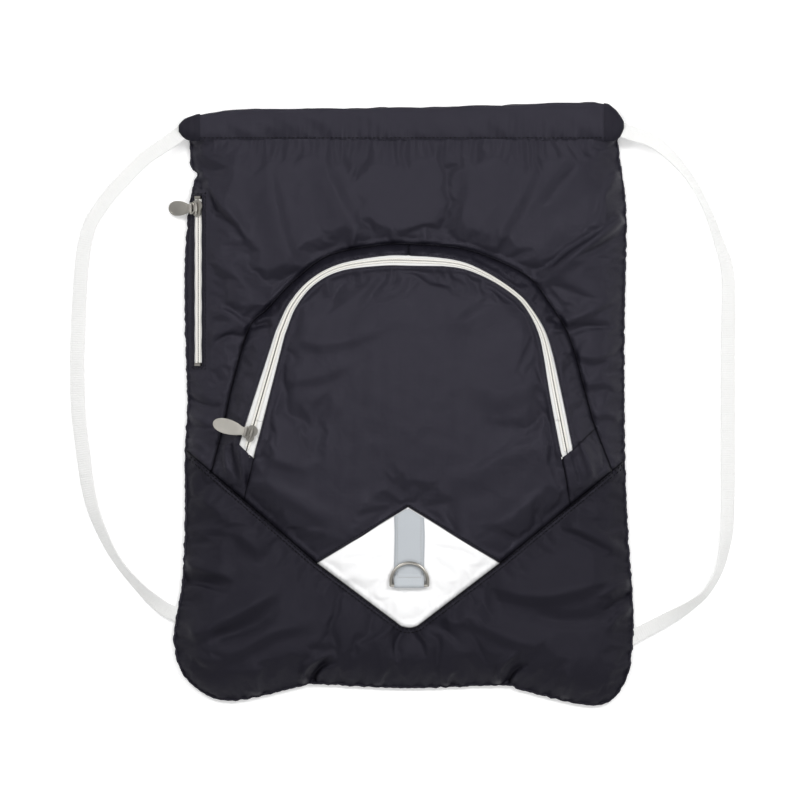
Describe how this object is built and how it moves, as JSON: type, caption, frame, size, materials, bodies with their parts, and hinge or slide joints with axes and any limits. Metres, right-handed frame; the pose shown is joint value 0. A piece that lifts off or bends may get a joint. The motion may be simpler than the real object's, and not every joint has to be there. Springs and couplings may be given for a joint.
{
  "type": "drawstring backpack",
  "caption": "Flat nylon drawstring backpack with webbing straps, arched zip pocket, side zip pocket, white diamond panel and D-ring.",
  "frame": {"origin": "on the back panel's outer face, midway across the bag and near the middle of its height, with the bag lying flat on its back", "axes": "+Z out through the front panel, +Y towards the mouth, +X to the right as seen from the front"},
  "size_m": [0.4989, 0.4499, 0.0342],
  "materials": {
    "nylon": "charcoal nylon with a soft satin sheen",
    "white_nylon": "smooth white nylon",
    "reflective_tape": "grey retroreflective tape",
    "webbing": "ribbed white webbing",
    "zip_tape": "white woven zip tape",
    "zip_coil": "off-white coil",
    "nickel": "satin nickel plate"
  },
  "bodies": {
    "bag": {"back_panel": "nylon", "front_upper_panel": "nylon", "front_lower_panel": "nylon", "front_hem": "nylon", "back_hem": "nylon", "left_side_binding": "nylon", "right_side_binding": "nylon", "bottom_binding": "nylon", "left_strap_anchor": "webbing", "right_strap_anchor": "webbing", "front_drawcord_run": "webbing", "back_drawcord_run": "webbing", "pocket_gusset_left": "nylon", "pocket_gusset_right": "nylon", "pocket_corner_left": "nylon", "pocket_corner_right": "nylon", "pocket_face_lower": "nylon", "diamond_patch": "white_nylon", "reflective_strip": "reflective_tape", "pocket_zip_outer_tape": "zip_tape", "pocket_zip_outer_coil": "zip_coil", "pocket_zip_tape_ends": "zip_tape", "pocket_zip_coil_ends": "zip_coil", "side_zip_left_tape": "zip_tape", "side_zip_right_tape": "zip_tape", "side_zip_left_coil": "zip_coil", "side_zip_right_coil": "zip_coil", "side_zip_stops": "nickel", "side_zip_welt": "nylon", "side_pocket_bag": "nylon"},
    "mouth_left": {"left_channel_end": "nylon"},
    "mouth_right": {"right_channel_end": "nylon"},
    "strap_left": {"left_strap": "webbing"},
    "strap_right": {"right_strap": "webbing"},
    "pocket_flap": {"pocket_face_flap": "nylon", "pocket_zip_inner_tape": "zip_tape", "pocket_zip_inner_coil": "zip_coil"},
    "pocket_slider": {"pocket_zip_slider": "nickel"},
    "pocket_link": {"pocket_zip_link": "nickel"},
    "pocket_pull": {"pocket_zip_pull": "nickel"},
    "side_slider": {"side_zip_slider": "nickel"},
    "side_link": {"side_zip_link": "nickel"},
    "side_pull": {"side_zip_pull": "nickel"},
    "ring": {"d_ring": "nickel"}
  },
  "joints": [
    {"name": "mouth_cinch", "type": "slide", "parent": "bag", "child": "mouth_left", "axis": [1, 0, 0], "range_m": [0, 0.045]},
    {"name": "mouth_cinch_right", "type": "slide", "parent": "bag", "child": "mouth_right", "axis": [-1, 0, 0], "range_m": [0, 0.045]},
    {"name": "left_strap_swing", "type": "hinge", "parent": "bag", "child": "strap_left", "pos_m": [-0.174, -0.158, 0.0018], "axis": [0, 0.9996, 0.0297], "range_deg": [0, 120]},
    {"name": "right_strap_swing", "type": "hinge", "parent": "bag", "child": "strap_right", "pos_m": [0.175, -0.174, 0.0018], "axis": [0.0212, -0.9994, -0.0283], "range_deg": [0, 120]},
    {"name": "pocket_flap_open", "type": "hinge", "parent": "bag", "child": "pocket_flap", "pos_m": [0, -0.0121, 0.028], "axis": [1, 0, 0], "range_deg": [0, 75]},
    {"name": "pocket_zip_travel", "type": "slide", "parent": "bag", "child": "pocket_slider", "axis": [0.2786, 0.9604, 0], "range_m": [0, 0.075]},
    {"name": "pocket_link_swing", "type": "hinge", "parent": "pocket_slider", "child": "pocket_link", "pos_m": [-0.11607, -0.02292, 0.0328], "axis": [0.2786, 0.9604, 0], "range_deg": [0, 100]},
    {"name": "pocket_pull_swing", "type": "hinge", "parent": "pocket_link", "child": "pocket_pull", "pos_m": [-0.1204, -0.02166, 0.0328], "axis": [0.2786, 0.9604, 0], "range_deg": [0, 95]},
    {"name": "side_zip_travel", "type": "slide", "parent": "bag", "child": "side_slider", "axis": [0, -1, 0], "range_m": [0, 0.105]},
    {"name": "side_link_swing", "type": "hinge", "parent": "side_slider", "child": "side_link", "pos_m": [-0.15772, 0.146, 0.01156], "axis": [0, 1, 0], "range_deg": [0, 100]},
    {"name": "side_pull_swing", "type": "hinge", "parent": "side_link", "child": "side_pull", "pos_m": [-0.16171, 0.146, 0.00948], "axis": [0, 1, 0], "range_deg": [0, 80]},
    {"name": "ring_swing", "type": "hinge", "parent": "bag", "child": "ring", "pos_m": [0.0025, -0.13666, 0.02221], "axis": [1, 0, 0], "range_deg": [0, 170]}
  ],
  "couplings": [
    {"joint": "mouth_cinch_right", "follows": "mouth_cinch", "ratio": 1}
  ]
}
